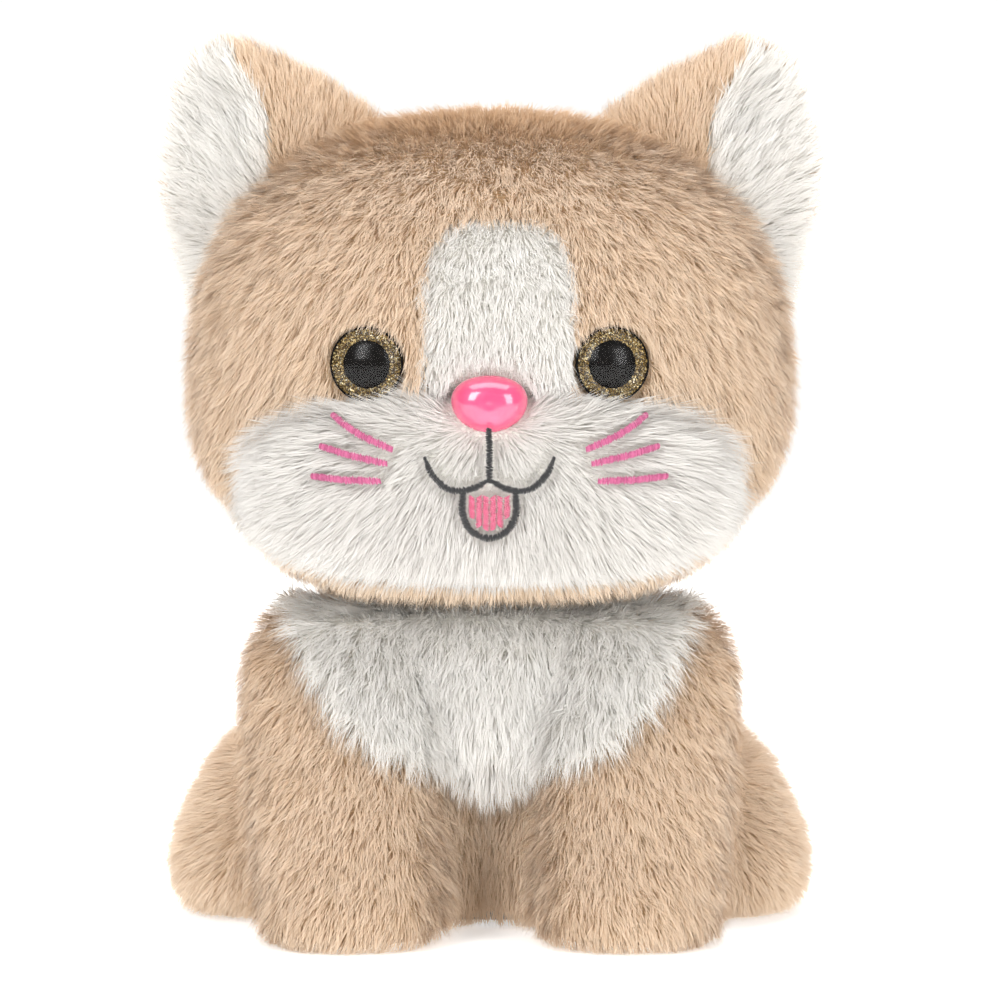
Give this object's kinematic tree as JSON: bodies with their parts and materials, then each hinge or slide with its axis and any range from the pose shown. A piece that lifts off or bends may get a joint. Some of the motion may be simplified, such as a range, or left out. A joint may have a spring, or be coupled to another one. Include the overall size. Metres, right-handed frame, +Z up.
{
  "type": "interactive plush pet",
  "caption": "Sitting plush kitten with a motor-driven nodding head, glitter eyes, stitched whiskers and a press switch in its paw.",
  "frame": {"origin": "on the surface it sits on, under the middle of its bounding box", "axes": "+Z up, the kitten faces -Y and its own left side is +X"},
  "size_m": [0.1836, 0.1402, 0.2407],
  "materials": {
    "tan_plush": "short pile faux fur, warm beige, soft sheen",
    "white_plush": "short pile faux fur, off-white",
    "pink_thread": "satin stitch embroidery thread",
    "black_thread": "satin stitch embroidery thread",
    "tongue_thread": "filled embroidery in rows",
    "nose_pink": "moulded, polished",
    "eye_clear": "clear acrylic dome, polished",
    "eye_glitter": "printed black pupil on gold glitter",
    "washer_plastic": "moulded",
    "housing_plastic": "moulded, fine spark texture",
    "frame_plastic": "moulded",
    "gear_plastic": "moulded acetal",
    "steel": "zinc plated",
    "brass": "hobbed",
    "motor_can": "drawn can, satin",
    "plated_contact": "nickel plated",
    "speaker_steel": "pressed, plated",
    "speaker_paper": "pressed paper",
    "board": "green solder mask",
    "cell_jacket": "printed sleeve",
    "switch_black": "moulded",
    "lead_jacket": "extruded jacket"
  },
  "bodies": {
    "root": {"torso_plush": "tan_plush", "front_leg_left": "tan_plush", "front_leg_right": "tan_plush", "haunch_left": "tan_plush", "haunch_right": "tan_plush", "tail": "tan_plush", "neck_gusset": "tan_plush", "chest_bib": "white_plush", "housing_left": "housing_plastic", "housing_right": "housing_plastic", "paw_switch_case": "housing_plastic", "neck_pin": "steel", "gear_a_pin": "steel", "gear_b_pin": "steel", "housing_screw_1": "steel", "housing_screw_2": "steel", "housing_screw_3": "steel", "paw_switch_spring": "steel", "motor": "motor_can", "contact_left": "plated_contact", "contact_right": "plated_contact", "speaker_basket": "speaker_steel", "speaker_cone": "speaker_paper", "circuit_board": "board", "cell_1": "cell_jacket", "cell_2": "cell_jacket", "cell_3": "cell_jacket", "paw_lead": "lead_jacket"},
    "head": {"head_plush": "tan_plush", "muzzle_panel": "white_plush", "forehead_blaze": "white_plush", "ear_left_outer": "tan_plush", "ear_left_lining": "white_plush", "ear_right_outer": "tan_plush", "ear_right_lining": "white_plush", "eye_lens_left": "eye_clear", "eye_lens_right": "eye_clear", "eye_iris_left": "eye_glitter", "eye_iris_right": "eye_glitter", "eye_washer_left": "washer_plastic", "eye_washer_right": "washer_plastic", "nose": "nose_pink", "nose_washer": "washer_plastic", "mouth_stitch": "black_thread", "tongue_patch": "tongue_thread", "head_frame": "frame_plastic", "whisker_left_1": "pink_thread", "whisker_left_2": "pink_thread", "whisker_left_3": "pink_thread", "whisker_right_1": "pink_thread", "whisker_right_2": "pink_thread", "whisker_right_3": "pink_thread"},
    "gear_b": {"gear_b": "gear_plastic"},
    "gear_a": {"gear_a": "gear_plastic"},
    "motor_pinion": {"motor_pinion": "brass"},
    "power_switch": {"power_switch_knob": "switch_black"},
    "battery_door": {"battery_door": "housing_plastic", "door_screw": "steel"},
    "paw_button": {"paw_switch_cap": "switch_black"}
  },
  "joints": [
    {"name": "head_nod", "type": "hinge", "parent": "root", "child": "head", "pos_m": [0, 0.006, 0.076], "axis": [1, 0, 0], "range_deg": [-6, 8]},
    {"name": "gear_b_spin", "type": "hinge", "parent": "root", "child": "gear_b", "pos_m": [0, 0.006, 0.05785], "axis": [1, 0, 0], "range_deg": [-33, 25]},
    {"name": "gear_a_spin", "type": "hinge", "parent": "root", "child": "gear_a", "pos_m": [0, -0.00128, 0.04525], "axis": [1, 0, 0], "range_deg": [-73, 97]},
    {"name": "motor_spin", "type": "hinge", "parent": "root", "child": "motor_pinion", "pos_m": [0, 0.00901, 0.03496], "axis": [1, 0, 0], "range_deg": [-289, 217]},
    {"name": "power_switch_slide", "type": "slide", "parent": "root", "child": "power_switch", "axis": [1, 0, 0], "range_m": [0, 0.004]},
    {"name": "battery_door_swing", "type": "hinge", "parent": "root", "child": "battery_door", "pos_m": [0, 0.0166, 0.0034], "axis": [1, 0, 0], "range_deg": [0, 75]},
    {"name": "paw_press", "type": "slide", "parent": "root", "child": "paw_button", "axis": [0, 1, 0], "range_m": [0, 0.0015], "stiffness_N_per_m": 600, "springref_m": -0.002}
  ],
  "couplings": [
    {"joint": "gear_b_spin", "follows": "head_nod", "ratio": -4},
    {"joint": "gear_a_spin", "follows": "head_nod", "ratio": 12},
    {"joint": "motor_spin", "follows": "head_nod", "ratio": -36}
  ]
}
